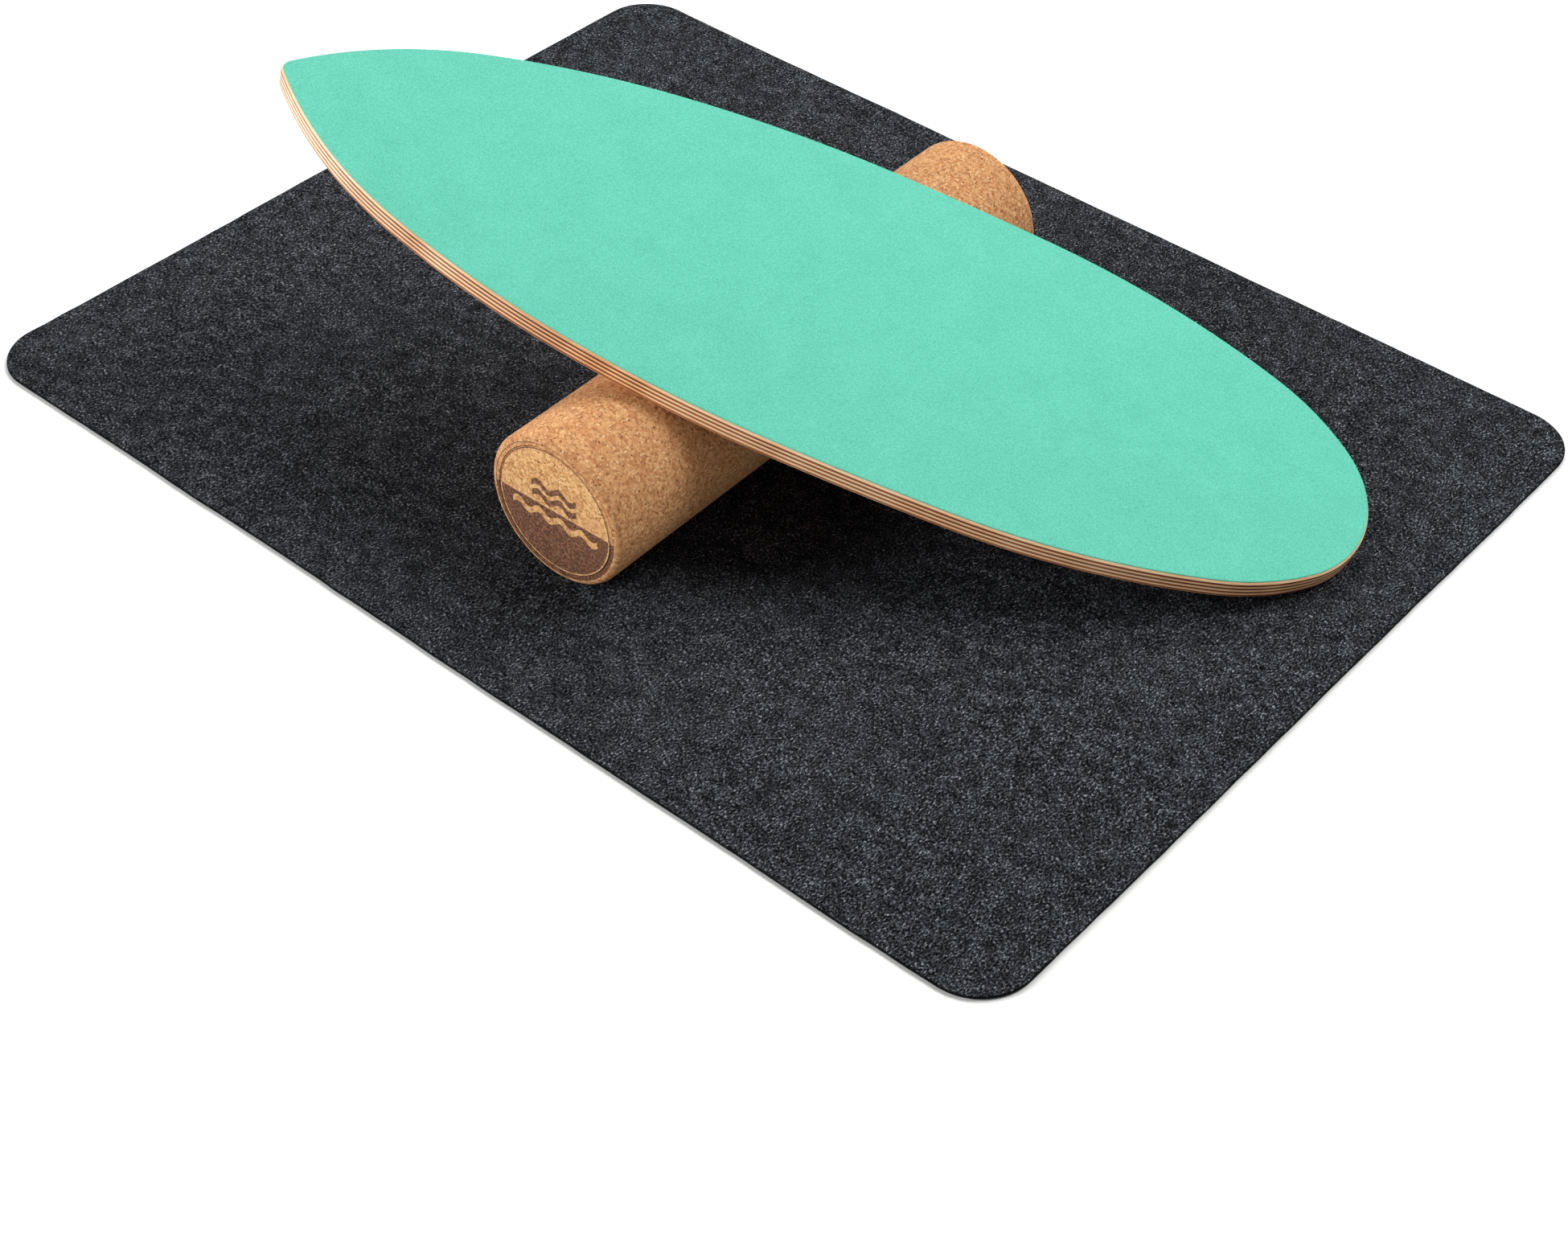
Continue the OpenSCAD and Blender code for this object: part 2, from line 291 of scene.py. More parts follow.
def spindles(middles, headings, lengths, bends, lifts):
    """Points and faces of bent fibres that taper to both ends, three-sided in the middle."""
    along = np.stack((np.cos(headings), np.sin(headings), np.zeros(len(headings))), 1)
    beside = np.stack((-along[:, 1], along[:, 0], along[:, 2]), 1)
    up = np.array((0.0, 0.0, 1.0))
    points = []
    for place in (-0.5, -0.17, 0.17, 0.5):
        spine = (middles + along * (place * lengths)[:, None]
                 + beside * (bends * (0.25 - place ** 2))[:, None]
                 + up * (lifts * (1 - 4 * place ** 2))[:, None])
        if abs(place) == 0.5:
            points.append(spine)
        else:
            for turn in (90, 210, 330):
                points.append(spine + FIBRE_THICK / 2 * (
                    beside * math.cos(math.radians(turn)) + up * math.sin(math.radians(turn))))
    points = np.stack(points, 1).reshape(-1, 3)
    one = [(0, 2, 1), (0, 3, 2), (0, 1, 3), (1, 2, 5, 4), (2, 3, 6, 5), (3, 1, 4, 6),
           (4, 5, 7), (5, 6, 7), (6, 4, 7)]
    faces = [tuple(8 * n + v for v in face) for n in range(len(middles)) for face in one]
    return points, faces


rng = np.random.default_rng(41)
margin = 7 * MM
spots = rng.uniform((felt_low.x + margin, felt_low.y + margin),
                    (felt_high.x - margin, felt_high.y - margin), (FIBRE_COUNT, 2))
reach = np.abs(spots) - (np.array((felt_high.x, felt_high.y)) - FELT_CORNER)
spots = spots[np.hypot(*np.maximum(reach, 0).T) < FELT_CORNER - margin]
over = rng.random(len(spots)) < 0.7
heights = np.where(over, felt_high.z - 0.02 * MM, felt_low.z + 0.02 * MM)
fibre_points, fibre_faces = spindles(
    np.column_stack((spots, heights)), rng.uniform(0, math.pi, len(spots)),
    rng.uniform(3 * MM, 9 * MM, len(spots)), rng.uniform(-6 * MM, 6 * MM, len(spots)),
    np.where(over, 1, -1) * rng.uniform(0.2, 1, len(spots)) * FIBRE_LIFT)
fuzz_mesh = bpy.data.meshes.new("felt_fuzz")
fuzz_mesh.from_pydata(fibre_points.tolist(), [], fibre_faces)
fuzz_mesh.materials.append(fibre)
felt_fuzz = bpy.data.objects.new("felt_fuzz", fuzz_mesh)
bpy.context.scene.collection.objects.link(felt_fuzz)
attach(felt_fuzz, "mat")

# The grip dots: soft PVC printed through a stencil onto the felt's underside in a square
# grid, and cured, so each is a low round bump.
DOT_PITCH = 10 * MM
DOT_R = 1.4 * MM
DOT_SIDES = 7
DOT_PROFILE = ((1.0, 1.02), (0.86, 0.3), (0.42, 0.0))

dot_pvc, dot_shader = start("printed_grip_pvc", 0.55, Subsurface_Weight=0.15,
                            Subsurface_Scale=0.001)
dot_place = add(dot_pvc, "TexCoord").outputs["Object"]
dot_mottle = add(dot_pvc, "TexNoise", {"Vector": dot_place, "Scale": 900, "Detail": 3})
dot_colour = add(dot_pvc, "ValToRGB", {"Fac": dot_mottle.outputs["Fac"]},
                 stops=((0.3, "#7d7972"), (0.7, "#a9a49b")))
dot_relief = add(dot_pvc, "Bump", {"Height": dot_mottle.outputs["Fac"], "Strength": 0.3,
                                   "Distance": 0.1 * MM})
join(dot_pvc, dot_colour.outputs["Color"], dot_shader.inputs["Base Color"])
join(dot_pvc, dot_relief.outputs["Normal"], dot_shader.inputs["Normal"])

grip_low, grip_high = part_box("mat_grip_layer")
dots_x = np.arange(grip_low.x + DOT_PITCH / 2, grip_high.x, DOT_PITCH)
dots_y = np.arange(grip_low.y + DOT_PITCH / 2, grip_high.y, DOT_PITCH)
dots = np.array([(x, y) for x in dots_x for y in dots_y])
corner = np.maximum(np.abs(dots) - (np.array((grip_high.x, grip_high.y)) - FELT_CORNER), 0)
dots = dots[np.hypot(*corner.T) < FELT_CORNER - 2 * DOT_R]
dot_turns = np.arange(DOT_SIDES) * 2 * math.pi / DOT_SIDES
one_dot = np.array([(DOT_R * width * math.cos(t), DOT_R * width * math.sin(t),
                     grip_low.z + (grip_high.z - grip_low.z) * height)
                    for width, height in DOT_PROFILE for t in dot_turns])
dot_faces = [(k * DOT_SIDES + i, (k + 1) * DOT_SIDES + i,
              (k + 1) * DOT_SIDES + (i + 1) % DOT_SIDES, k * DOT_SIDES + (i + 1) % DOT_SIDES)
             for k in range(len(DOT_PROFILE) - 1) for i in range(DOT_SIDES)]
dot_faces.append(tuple(range(3 * DOT_SIDES - 1, 2 * DOT_SIDES - 1, -1)))
dot_faces.append(tuple(range(DOT_SIDES)))
dot_points = (one_dot[None] + np.pad(dots, ((0, 0), (0, 1)))[:, None]).reshape(-1, 3)
dots_mesh = bpy.data.meshes.new("grip_dots")
dots_mesh.from_pydata(dot_points.tolist(), [], [tuple(n * len(one_dot) + v for v in face)
                                                for n in range(len(dots)) for face in dot_faces])
dots_mesh.materials.append(dot_pvc)
dots_mesh.shade_smooth()
grip_dots = bpy.data.objects.new("grip_dots", dots_mesh)
bpy.context.scene.collection.objects.link(grip_dots)
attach(grip_dots, "mat")
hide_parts("mat_grip_layer")

# The roller: a sleeve of pressed cork granules, turned and sanded on its outside, with a
# rounded edge at each end. It is glued to a plastic tube that can't be seen.
turn_joint = next(j for j in frame["joints"] if j["name"] == "roller_turn")
roller_axis = Vector(turn_joint["axis"]).normalized()
roller_across = roller_axis.cross(Vector((0, 0, 1)))
roller_place = Matrix((roller_across, roller_axis, Vector((0, 0, 1)))).transposed().to_4x4()
roller_place.translation = Vector(turn_joint["pos_m"])
roller_inverse = roller_place.inverted()
sleeve_points = np.array([roller_inverse @ v.co
                          for v in frame["nodes"]["roller_cork_sleeve"].data.vertices])
ROLLER_R = float(np.hypot(sleeve_points[:, 0], sleeve_points[:, 2]).max())
ROLLER_BORE = float(np.hypot(sleeve_points[:, 0], sleeve_points[:, 2]).min())
ROLLER_HALF = float(sleeve_points[:, 1].max())
ROLLER_EDGE = 4.9 * MM
PIT_DEPTH = 0.3 * MM


def specks(cork, place, scale, rarity, strength):
    """How much of a speck covers each place: strength in its middle, 0 between specks."""
    cells = add(cork, "TexVoronoi", {"Vector": place, "Scale": scale, "Randomness": 1})
    pick = add(cork, "SeparateColor", {"Color": cells.outputs["Color"]})
    rare = add(cork, "Math", {0: pick.outputs["Green"], 1: rarity}, operation="GREATER_THAN")
    middle = add(cork, "MapRange", {"Value": cells.outputs["Distance"], "From Min": 0.3,
                                    "From Max": 0.6, "To Min": strength, "To Max": 0})
    speck = add(cork, "Math", {0: rare.outputs[0], 1: middle.outputs[0]}, operation="MULTIPLY")
    return speck.outputs[0]


def cork_material(name, pale, middle, brown):
    """Pressed cork: granules about 2 mm wide in tans, dark bark specks and a few pale ones
    about a millimetre wide, redder clouds 7 mm wide, sanded dull, with the end mark."""
    cork, shader = start(name, 0.85, Specular_IOR_Level=0.3)
    place = add(cork, "TexCoord").outputs["Object"]
    warp = add(cork, "TexNoise", {"Vector": place, "Scale": 700, "Detail": 2})
    bent = add(cork, "Mix", {0: 0.003, 4: place, 5: warp.outputs["Color"]},
               data_type="VECTOR")
    granule = add(cork, "TexVoronoi", {"Vector": bent.outputs[1], "Scale": 560,
                                       "Randomness": 1})
    shade = add(cork, "SeparateColor", {"Color": granule.outputs["Color"]})
    cloud = add(cork, "TexNoise", {"Vector": place, "Scale": 140, "Detail": 4,
                                   "Roughness": 0.65})
    mottle = add(cork, "TexNoise", {"Vector": place, "Scale": 1100, "Detail": 3,
                                    "Roughness": 0.75})
    soft = add(cork, "Mix", {0: 0.5, 2: shade.outputs["Red"], 3: mottle.outputs["Fac"]})
    tone = add(cork, "Mix", {0: 0.3, 2: soft.outputs[0], 3: cloud.outputs["Fac"]})
    colour = add(cork, "ValToRGB", {"Fac": tone.outputs[0]},
                 stops=((0.32, brown), (0.66, pale), (0.5, middle)))
    redder = add(cork, "MapRange", {"Value": cloud.outputs["Fac"], "From Min": 0.5,
                                    "From Max": 0.66, "To Min": 0, "To Max": 0.4})
    warm = add(cork, "Mix", {0: redder.outputs[0], 6: colour.outputs["Color"],
                             7: linear("#b9713d")}, data_type="RGBA")
    bark = specks(cork, bent.outputs[1], 760, 0.9, 0.9)
    barked = add(cork, "Mix", {0: bark, 6: warm.outputs[2], 7: linear("#57301b")},
                 data_type="RGBA")
    pith = specks(cork, bent.outputs[1], 640, 0.86, 0.6)
    speckled = add(cork, "Mix", {0: pith, 6: barked.outputs[2], 7: linear("#f6d9a8")},
                   data_type="RGBA")
    marked = burnt(cork, place, speckled.outputs[2])
    height = add(cork, "Math", {0: mottle.outputs["Fac"], 1: bark}, operation="SUBTRACT")
    relief = add(cork, "Bump", {"Height": height.outputs[0], "Strength": 0.45,
                                "Distance": 0.35 * MM})
    join(cork, marked.outputs[2], shader.inputs["Base Color"])
    join(cork, relief.outputs["Normal"], shader.inputs["Normal"])
    return cork


# The mark on the near end is burnt in with a hot stamp: the lower half of the end dark, two
# thin rings, and three plain waves. It is a generic mark, with no letters. WAVES gives each
# wave's lower and upper side and half its width, in millimetres from the roller's axis.
RING_OUTER = 50.2 * MM
RING_INNER = 46.05 * MM
WAVE_LENGTH = 18 * MM
WAVE_HEIGHT = 2.4 * MM
WAVES = ((4.5, 9.3, 19), (12.8, 17.6, 19), (-10.4, -5.2, 36))


def band(material, value, low, high):
    """1 where value lies between low and high, and 0 elsewhere."""
    over = add(material, "Math", {0: value, 1: low}, operation="GREATER_THAN")
    under = add(material, "Math", {0: value, 1: high}, operation="LESS_THAN")
    both = add(material, "Math", {0: over.outputs[0], 1: under.outputs[0]}, operation="MULTIPLY")
    return both.outputs[0]


def burnt(cork, place, plain):
    """The cork's colour with the end mark burnt into it."""
    turn = roller_place.to_euler()
    local = add(cork, "Mapping", {"Vector": place, "Location": roller_place.translation,
                                  "Rotation": turn}, vector_type="TEXTURE")
    part = add(cork, "SeparateXYZ", {"Vector": local.outputs["Vector"]})
    x, y, z = (part.outputs[k] for k in range(3))
    squares = [add(cork, "Math", {0: c, 1: c}, operation="MULTIPLY").outputs[0] for c in (x, z)]
    square = add(cork, "Math", {0: squares[0], 1: squares[1]}, operation="ADD")
    radius = add(cork, "Math", {0: square.outputs[0]}, operation="SQRT").outputs[0]
    lower = band(cork, z, -1, 0)
    inside = band(cork, radius, -1, RING_OUTER)
    inner_ring = band(cork, radius, RING_INNER - 0.45 * MM, RING_INNER + 0.45 * MM)
    outer_ring = band(cork, radius, RING_OUTER - 0.4 * MM, RING_OUTER + 0.1 * MM)
    half = add(cork, "Math", {0: lower, 1: inside}, operation="MULTIPLY").outputs[0]
    angle = add(cork, "Math", {0: x, 1: 2 * math.pi / WAVE_LENGTH}, operation="MULTIPLY")
    swing = add(cork, "Math", {0: angle.outputs[0]}, operation="SINE")
    wave = add(cork, "Math", {0: swing.outputs[0], 1: WAVE_HEIGHT}, operation="MULTIPLY")
    off_wave = add(cork, "Math", {0: z, 1: wave.outputs[0]}, operation="SUBTRACT").outputs[0]
    stamp = inner_ring
    for low, high, half_width in WAVES:
        wide = band(cork, x, -half_width * MM, half_width * MM)
        stripe = add(cork, "Math", {0: band(cork, off_wave, low * MM, high * MM), 1: wide},
                     operation="MULTIPLY")
        stamp = add(cork, "Math", {0: stamp, 1: stripe.outputs[0]},
                    operation="MAXIMUM").outputs[0]
    swapped = add(cork, "Math", {0: half, 1: stamp}, operation="SUBTRACT")
    swapped = add(cork, "Math", {0: swapped.outputs[0]}, operation="ABSOLUTE")
    marks = add(cork, "Math", {0: swapped.outputs[0], 1: outer_ring}, operation="MAXIMUM")
    near = band(cork, y, -1, -(ROLLER_HALF - 1 * MM))
    burn = add(cork, "Math", {0: marks.outputs[0], 1: near}, operation="MULTIPLY")
    burn = add(cork, "Math", {0: burn.outputs[0], 1: 0.93}, operation="MULTIPLY")
    char_noise = add(cork, "TexNoise", {"Vector": place, "Scale": 620, "Detail": 3,
                                        "Roughness": 0.75})
    char = add(cork, "ValToRGB", {"Fac": char_noise.outputs["Fac"]},
               stops=((0.38, "#331c14"), (0.64, "#9a6751"), (0.5, "#5d3b2f")))
    return add(cork, "Mix", {0: burn.outputs[0], 6: plain, 7: char.outputs["Color"]},
               data_type="RGBA")


def pitted(point, outward):
    """A point of the sanded cork surface, sunk where a granule has torn out."""
    deep = noise.noise(point * 620) + 0.5 * noise.noise(point * 1400)
    return point - outward * PIT_DEPTH * max(0.0, deep - 0.25) * 2


def turned(name, profile, around, material, rough):
    """A piece turned about the roller's axis: profile is (radius, place along the axis)."""
    rings = []
    for radius, y in profile:
        angles = np.arange(around) * 2 * math.pi / around
        row = []
        for a in angles:
            outward = Vector((math.sin(a), 0, math.cos(a)))
            point = outward * radius + Vector((0, y, 0))
            if rough(radius, y):
                point = pitted(point, outward)
            row.append(tuple(point))
        rings.append(row)
    rings = np.array(rings)
    count = len(rings)
    faces = [((k * around + i), (k * around + (i + 1) % around),
              ((k + 1) % count * around + (i + 1) % around), ((k + 1) % count * around + i))
             for k in range(count) for i in range(around)]
    mesh = bpy.data.meshes.new(name)
    mesh.from_pydata([tuple(roller_place @ Vector(p)) for p in rings.reshape(-1, 3)], [], faces)
    mesh.materials.append(material)
    mesh.shade_smooth()
    mesh.set_sharp_from_angle(angle=math.radians(50))
    piece = bpy.data.objects.new(name, mesh)
    bpy.context.scene.collection.objects.link(piece)
    return piece


sleeve_cork = cork_material("pressed_cork", "#dba974", "#ca9261", "#ab7044")
corner_turns = np.linspace(0, math.pi / 2, 9)
sleeve_profile = [(ROLLER_BORE, -ROLLER_HALF + 1.5 * MM), (ROLLER_BORE + 0.4 * MM, -ROLLER_HALF)]
sleeve_profile += [(ROLLER_R - ROLLER_EDGE * (1 - math.sin(t)),
                    -ROLLER_HALF + ROLLER_EDGE * (1 - math.cos(t))) for t in corner_turns]
sleeve_profile += [(ROLLER_R, y) for y in np.linspace(-ROLLER_HALF + ROLLER_EDGE,
                                                      ROLLER_HALF - ROLLER_EDGE, 262)[1:-1]]
sleeve_profile += [(r, -y) for r, y in sleeve_profile[10:1:-1]]
sleeve_profile += [(ROLLER_BORE + 0.4 * MM, ROLLER_HALF), (ROLLER_BORE, ROLLER_HALF - 1.5 * MM)]
cork_sleeve = turned("cork_sleeve", sleeve_profile, 300, sleeve_cork,
                     lambda radius, y: radius > ROLLER_R - 0.1 * MM)
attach(cork_sleeve, "roller")
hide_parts("roller_cork_sleeve")

# A disc cut from cork sheet is glued into each end, flush with the sleeve. The end grain of
# the sheet looks finer and yellower than the sleeve.
DISC_EDGE = 0.35 * MM


def end_disc(name, node, sign, material):
    points = np.array([roller_inverse @ v.co for v in frame["nodes"][node].data.vertices])
    radius = float(np.hypot(points[:, 0], points[:, 2]).max())
    inner = float(np.abs(points[:, 1]).min())
    rings = []
    angles = np.arange(240) * 2 * math.pi / 240 * sign
    shares = np.linspace(0.02, 1, 70)
    levels = [(radius * s, inner) for s in shares[::10]] + [(radius, ROLLER_HALF - DISC_EDGE)]
    levels += [((radius - DISC_EDGE) * s, ROLLER_HALF) for s in shares[::-1]]
    for width, y in levels:
        row = []
        for a in angles:
            point = Vector((width * math.sin(a), sign * y, width * math.cos(a)))
            if y == ROLLER_HALF:
                point = pitted(point, Vector((0, sign, 0)))
            row.append(tuple(point))
        rings.append(row)
    piece = stack(name, rings, material, roller_place)
    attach(piece, "roller")
    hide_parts(node)


disc_cork = cork_material("cork_sheet_end", "#e6bc85", "#d8a46b", "#b17844")
end_disc("end_disc_near", "roller_end_disc_near", -1, disc_cork)
end_disc("end_disc_far", "roller_end_disc_far", 1, disc_cork)

# The tube inside the roller is extruded hard plastic, hidden once the discs are glued in. It
# has faint lines along it from the die.
core_plastic, core_shader = start("extruded_hard_plastic", 0.45, IOR=1.53)
core_place = add(core_plastic, "TexCoord").outputs["Object"]
core_lie = add(core_plastic, "Mapping", {"Vector": core_place, "Scale": (900, 6, 900)})
core_lines = add(core_plastic, "TexNoise", {"Vector": core_lie.outputs["Vector"], "Scale": 1})
core_tone = add(core_plastic, "ValToRGB", {"Fac": core_lines.outputs["Fac"]},
                stops=((0.3, "#bdbab3"), (0.7, "#cecbc5")))
join(core_plastic, core_tone.outputs["Color"], core_shader.inputs["Base Color"])
frame["nodes"]["roller_core_tube"].data.materials.clear()
frame["nodes"]["roller_core_tube"].data.materials.append(core_plastic)

# The deck: nine maple veneers, pale and brown in turn, pressed flat, cut to a surfboard's
# outline with a pointed nose and a round tail, and rounded over on both edges.
coat_points = np.array([v.co for v in frame["nodes"]["deck_grip_coat"].data.vertices])
far = np.linalg.norm(coat_points[:, None] - coat_points[None], axis=2)
ends = coat_points[list(np.unravel_index(far.argmax(), far.shape))]
plane = np.linalg.svd(coat_points - coat_points.mean(0), full_matrices=False)[2]
deck_up = Vector(plane[2]) * math.copysign(1, plane[2][2])
deck_tail = Vector(ends[ends[:, 0].argmax()] - ends[ends[:, 0].argmin()])
deck_tail = (deck_tail - deck_up * deck_tail.dot(deck_up)).normalized()
deck_place = Matrix((deck_tail, deck_up.cross(deck_tail), deck_up)).transposed().to_4x4()
deck_place.translation = Vector(ends.mean(0))
deck_inverse = deck_place.inverted()


def in_deck(node):
    """A CAD node's points in the deck's frame: x to the tail, y across, z up."""
    return np.array([deck_inverse @ v.co for v in frame["nodes"][node].data.vertices])


PLIES = [f"deck_ply_{k}" for k in range(1, 10)]
ply_spans = {ply: (in_deck(ply)[:, 2].min(), in_deck(ply)[:, 2].max()) for ply in PLIES}
wood_top = ply_spans[PLIES[0]][1]
wood_bottom = ply_spans[PLIES[-1]][0]
full_ply = in_deck("deck_ply_2")
DECK_NOSE = full_ply[:, 0].min()
DECK_TAIL = full_ply[:, 0].max()
DECK_HALF_WIDTH = full_ply[:, 1].max()
EDGE_ROUND = 2.5 * MM
# The outline is eight arcs on each side, given by where the edge's direction changes radius,
# in degrees, and by four of the radii; the other four follow from the length and width.
NOSE_TO_WIDEST = 396 * MM
TAIL_TURNS = (90, 135, 159, 177, 180)
NOSE_TURNS = (180, 190, 202, 230, 270)
TAIL_END_R = 82 * MM
REAR_SIDE_R = 2250 * MM
FRONT_SIDE_R = 885 * MM
NOSE_TIP_R = 9 * MM


def four_arcs(begin, turns, first, last, reach, rise):
    """Points and outward directions along four arcs that meet smoothly."""
    turns = np.radians(turns)
    run, up = np.diff(np.sin(turns)), -np.diff(np.cos(turns))
    rest = (reach - first * run[0] - last * run[3], rise - first * up[0] - last * up[3])
    middle = np.linalg.solve((run[1:3], up[1:3]), rest)
    rows = []
    place = np.array(begin)
    for radius, a, b in zip((first, *middle, last), turns, turns[1:]):
        for t in np.linspace(a, b, max(8, math.ceil(radius * (b - a) / (3 * MM))), endpoint=False):
            x, y = place + radius * np.array((math.sin(t) - math.sin(a),
                                              math.cos(a) - math.cos(t)))
            rows.append((x, y, math.sin(t), -math.cos(t)))
        place = place + radius * np.array((math.sin(b) - math.sin(a), math.cos(a) - math.cos(b)))
    return rows


widest = DECK_NOSE + NOSE_TO_WIDEST
left_side = four_arcs((DECK_TAIL, 0), TAIL_TURNS, TAIL_END_R, REAR_SIDE_R,
                      widest - DECK_TAIL, DECK_HALF_WIDTH)
left_side += four_arcs((widest, DECK_HALF_WIDTH), NOSE_TURNS, FRONT_SIDE_R, NOSE_TIP_R,
                       -NOSE_TO_WIDEST, -DECK_HALF_WIDTH)
right_side = [(x, -y, nx, -ny) for x, y, nx, ny in left_side[:0:-1]]
deck_edge = np.array(left_side + [(DECK_NOSE, 0, -1, 0)] + right_side)


def deck_ring(inset, z):
    flat = deck_edge[:, :2] - inset * deck_edge[:, 2:]
    return np.column_stack((flat, np.full(len(flat), z)))


def edge_inset(z):
    """How far the rounded-over edge lies inside the full outline at height z."""
    into = EDGE_ROUND - min(z - wood_bottom, wood_top - z)
    return EDGE_ROUND - math.sqrt(EDGE_ROUND ** 2 - min(max(into, 0), EDGE_ROUND) ** 2)


def veneer_material(name, pale, middle, dark):
    """Rotary-cut veneer, sanded and lacquered, so the rounded edge has a soft highlight. On its
    edge it shows streaks under a millimetre high and a few centimetres long, and on its face
    grain lines a millimetre apart along the deck."""
    veneer, shader = start(name, 0.5, IOR=1.5, Coat_Weight=0.5, Coat_Roughness=0.22)
    surface = add(veneer, "TexCoord").outputs["UV"]
    fine_lie = add(veneer, "Mapping", {"Vector": surface, "Scale": (45, 1300, 1)})
    fine = add(veneer, "TexNoise", {"Vector": fine_lie.outputs["Vector"], "Scale": 1,
                                    "Detail": 4, "Roughness": 0.6})
    broad_lie = add(veneer, "Mapping", {"Vector": surface, "Scale": (9, 240, 1)})
    broad = add(veneer, "TexNoise", {"Vector": broad_lie.outputs["Vector"], "Scale": 1,
                                     "Detail": 3, "Distortion": 0.4})
    grain = add(veneer, "Mix", {0: 0.5, 2: fine.outputs["Fac"], 3: broad.outputs["Fac"]})
    each = add(veneer, "MapRange", {"Value": add(veneer, "ObjectInfo").outputs["Random"],
                                    "To Min": -0.05, "To Max": 0.05})
    tone = add(veneer, "Math", {0: grain.outputs[0], 1: each.outputs[0]}, operation="ADD")
    colour = add(veneer, "ValToRGB", {"Fac": tone.outputs[0]},
                 stops=((0.38, dark), (0.62, pale), (0.5, middle)))
    relief = add(veneer, "Bump", {"Height": fine.outputs["Fac"], "Strength": 0.25,
                                  "Distance": 0.1 * MM})
    join(veneer, colour.outputs["Color"], shader.inputs["Base Color"])
    join(veneer, relief.outputs["Normal"], shader.inputs["Normal"])
    return veneer


veneers = [veneer_material("pale_maple_veneer", "#ffe9c6", "#fccd98", "#df9c62"),
           veneer_material("brown_veneer", "#c87f4b", "#9a5430", "#552817")]
insert_points = np.vstack([in_deck("stop_inserts_nose"), in_deck("stop_inserts_tail")])


def island_centres(points, apart):
    """Middles of groups of points that lie closer together than apart, on the plane."""
    groups = []
    for p in points[:, :2]:
        near = [g for g in groups if np.hypot(*(np.mean(g, 0) - p)) < apart]
        if near:
            near[0].append(p)
        else:
            groups.append([p])
    return [(np.min(g, 0) + np.max(g, 0)) / 2 for g in groups]


INSERT_R = 5.05 * MM
insert_centres = island_centres(insert_points, 12 * MM)


def cut(piece, cutter):
    """Takes the cutter's shape out of a piece and removes the cutter."""
    modifier = piece.modifiers.new("holes", "BOOLEAN")
    modifier.solver = "EXACT"
    modifier.object = cutter
    bpy.context.view_layer.update()
    shaped = piece.evaluated_get(bpy.context.evaluated_depsgraph_get())
    mesh = bpy.data.meshes.new_from_object(shaped)
    piece.modifiers.clear()
    piece.data = mesh
    bpy.data.objects.remove(cutter)


def drills(z_low, z_high):
    """The drilled holes for the threaded inserts, as one cutter."""
    points = []
    faces = []
    for x, y in insert_centres:
        first = len(points)
        for z in (z_low, z_high):
            points += [tuple(deck_place @ Vector((x + INSERT_R * math.cos(t),
                                                  y + INSERT_R * math.sin(t), z)))
                       for t in np.arange(48) * 2 * math.pi / 48]
        faces += [(first + i, first + (i + 1) % 48, first + 48 + (i + 1) % 48, first + 48 + i)
                  for i in range(48)]
        faces += [tuple(first + i for i in range(47, -1, -1)),
                  tuple(first + 48 + i for i in range(48))]
    mesh = bpy.data.meshes.new("drills")
    mesh.from_pydata(points, [], faces)
    cutter = bpy.data.objects.new("drills", mesh)
    bpy.context.scene.collection.objects.link(cutter)
    return cutter


drilled_top = insert_points[:, 2].max()
for k, ply in enumerate(PLIES):
    low, high = ply_spans[ply]
    veneer = stack(ply.replace("deck_ply", "veneer"),
                   [deck_ring(edge_inset(z), z) for z in np.linspace(low, high, 6)],
                   veneers[k % 2], deck_place)
    if high < drilled_top + 0.1 * MM:
        cut(veneer, drills(low - 1 * MM, high + 1 * MM))
    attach(veneer, "deck")
    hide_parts(ply)

# The grip coat: mint green paint with fine grit in it, sprayed on the top and a millimetre
# down the rounded edge. It looks dull and a little sandy. The real grains are about 0.2 mm wide;
# they are drawn as grains of half a millimetre to a millimetre.
coat_span = in_deck("deck_grip_coat")[:, 2]
coat_low, coat_high = coat_span.min(), coat_span.max()
COAT_ROUND = 1.2 * MM
COAT_OVER_EDGE = 0.3 * MM

coat, coat_shader = start("gritty_mint_paint", 0.72, IOR=1.48)
coat_place = add(coat, "TexCoord").outputs["Object"]
coat_grit = add(coat, "TexNoise", {"Vector": coat_place, "Scale": 900, "Detail": 3,
                                   "Roughness": 0.7})
coat_cloud = add(coat, "TexNoise", {"Vector": coat_place, "Scale": 34, "Detail": 4,
                                    "Roughness": 0.6})
coat_tone = add(coat, "Mix", {0: 0.15, 2: coat_grit.outputs["Fac"],
                              3: coat_cloud.outputs["Fac"]})
coat_colour = add(coat, "ValToRGB", {"Fac": coat_tone.outputs[0]},
                  stops=((0.34, "#48b097"), (0.66, "#6bd1b8"), (0.5, "#59c3a9")))
coat_relief = add(coat, "Bump", {"Height": coat_grit.outputs["Fac"], "Strength": 0.35,
                                 "Distance": 0.25 * MM})
join(coat, coat_colour.outputs["Color"], coat_shader.inputs["Base Color"])
join(coat, coat_relief.outputs["Normal"], coat_shader.inputs["Normal"])

